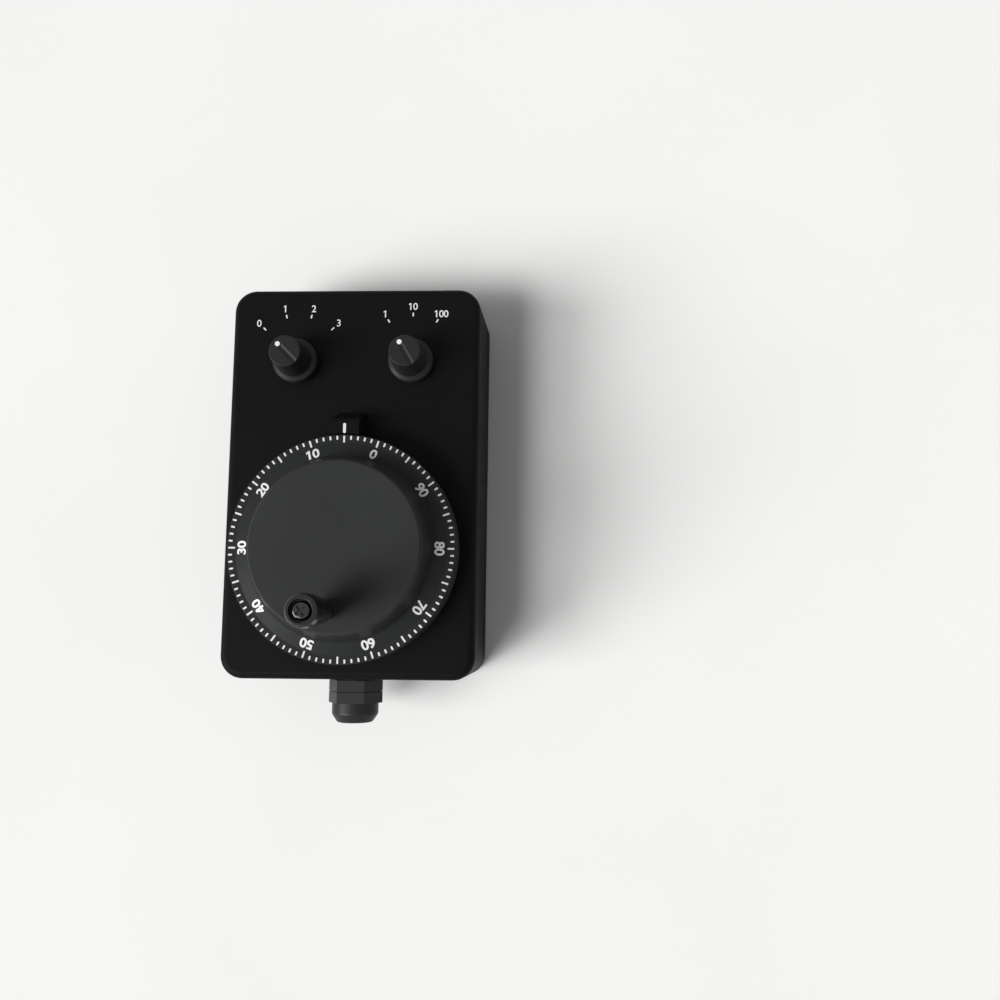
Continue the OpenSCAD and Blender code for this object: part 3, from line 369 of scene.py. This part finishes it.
def make_floor():
    mesh = bpy.data.meshes.new("floor")
    s = FLOOR_HALF
    mesh.from_pydata([(-s, -s, 0), (s, -s, 0), (s, s, 0), (-s, s, 0)], [], [(0, 1, 2, 3)])
    floor = add_object("floor", mesh)
    floor.location.z = -FLOOR_DROP
    m, tree, shader, coords = new_material("pale_floor")
    tone = blend(tree, noise(tree, coords, 6), (0.90, 0.90, 0.89), (0.93, 0.93, 0.92))
    tree.links.new(tone, shader.inputs["Base Color"])
    shader.inputs["Roughness"].default_value = 0.8
    mesh.materials.append(m)


def make_world():
    """White for the camera and in reflections, a softer grey as light."""
    world = bpy.data.worlds.new("studio")
    bpy.context.scene.world = world
    world.use_nodes = True
    nodes, links = world.node_tree.nodes, world.node_tree.links
    rays = nodes.new("ShaderNodeLightPath")
    seen = rays.outputs["Is Camera Ray"]
    for kind in ("Is Glossy Ray", "Is Transmission Ray"):
        either = nodes.new("ShaderNodeMath")
        either.operation = "MAXIMUM"
        links.new(seen, either.inputs[0])
        links.new(rays.outputs[kind], either.inputs[1])
        seen = either.outputs[0]
    strength = nodes.new("ShaderNodeMapRange")
    strength.inputs["To Min"].default_value = WORLD_LIGHT
    strength.inputs["To Max"].default_value = 1.0
    links.new(seen, strength.inputs["Value"])
    background = nodes["Background"]
    background.inputs["Color"].default_value = (1, 1, 1, 1)
    links.new(strength.outputs["Result"], background.inputs["Strength"])


def make_lamp(name, direction, width, level):
    """A far lamp that is seen that many degrees wide, in a direction from the object."""
    lamp = bpy.data.lights.new(name, "SUN")
    lamp.angle = math.radians(width)
    lamp.energy = level
    o = add_object(name, lamp)
    o.location = dial_axis + Vector(direction)
    o.rotation_euler = Vector(direction).to_track_quat("Z", "Y").to_euler()


def make_camera():
    """Above the dial and to its right, nearly straight down, with the photograph's framing."""
    cam = bpy.data.cameras.new("camera")
    cam.sensor_width = 36
    cam.lens = 36
    cam.shift_x = -0.044
    cam.clip_start, cam.clip_end = 0.01, 50
    o = add_object("camera", cam)
    forward = CAMERA_FORWARD.normalized()
    right = forward.cross(CAMERA_UP).normalized()
    up = right.cross(forward)
    o.location = dial_axis + CAMERA_FROM_DIAL
    o.rotation_euler = Matrix((right, up, -forward)).transposed().to_euler()
    bpy.context.scene.camera = o


make_floor()
make_world()
make_lamp("key", (-0.416, -0.374, 0.829), 20.0, 1.20)
make_lamp("soft_left", (-0.769, -0.311, 0.559), 32.0, 2.60)
make_camera()
bpy.context.scene.view_settings.view_transform = "Standard"
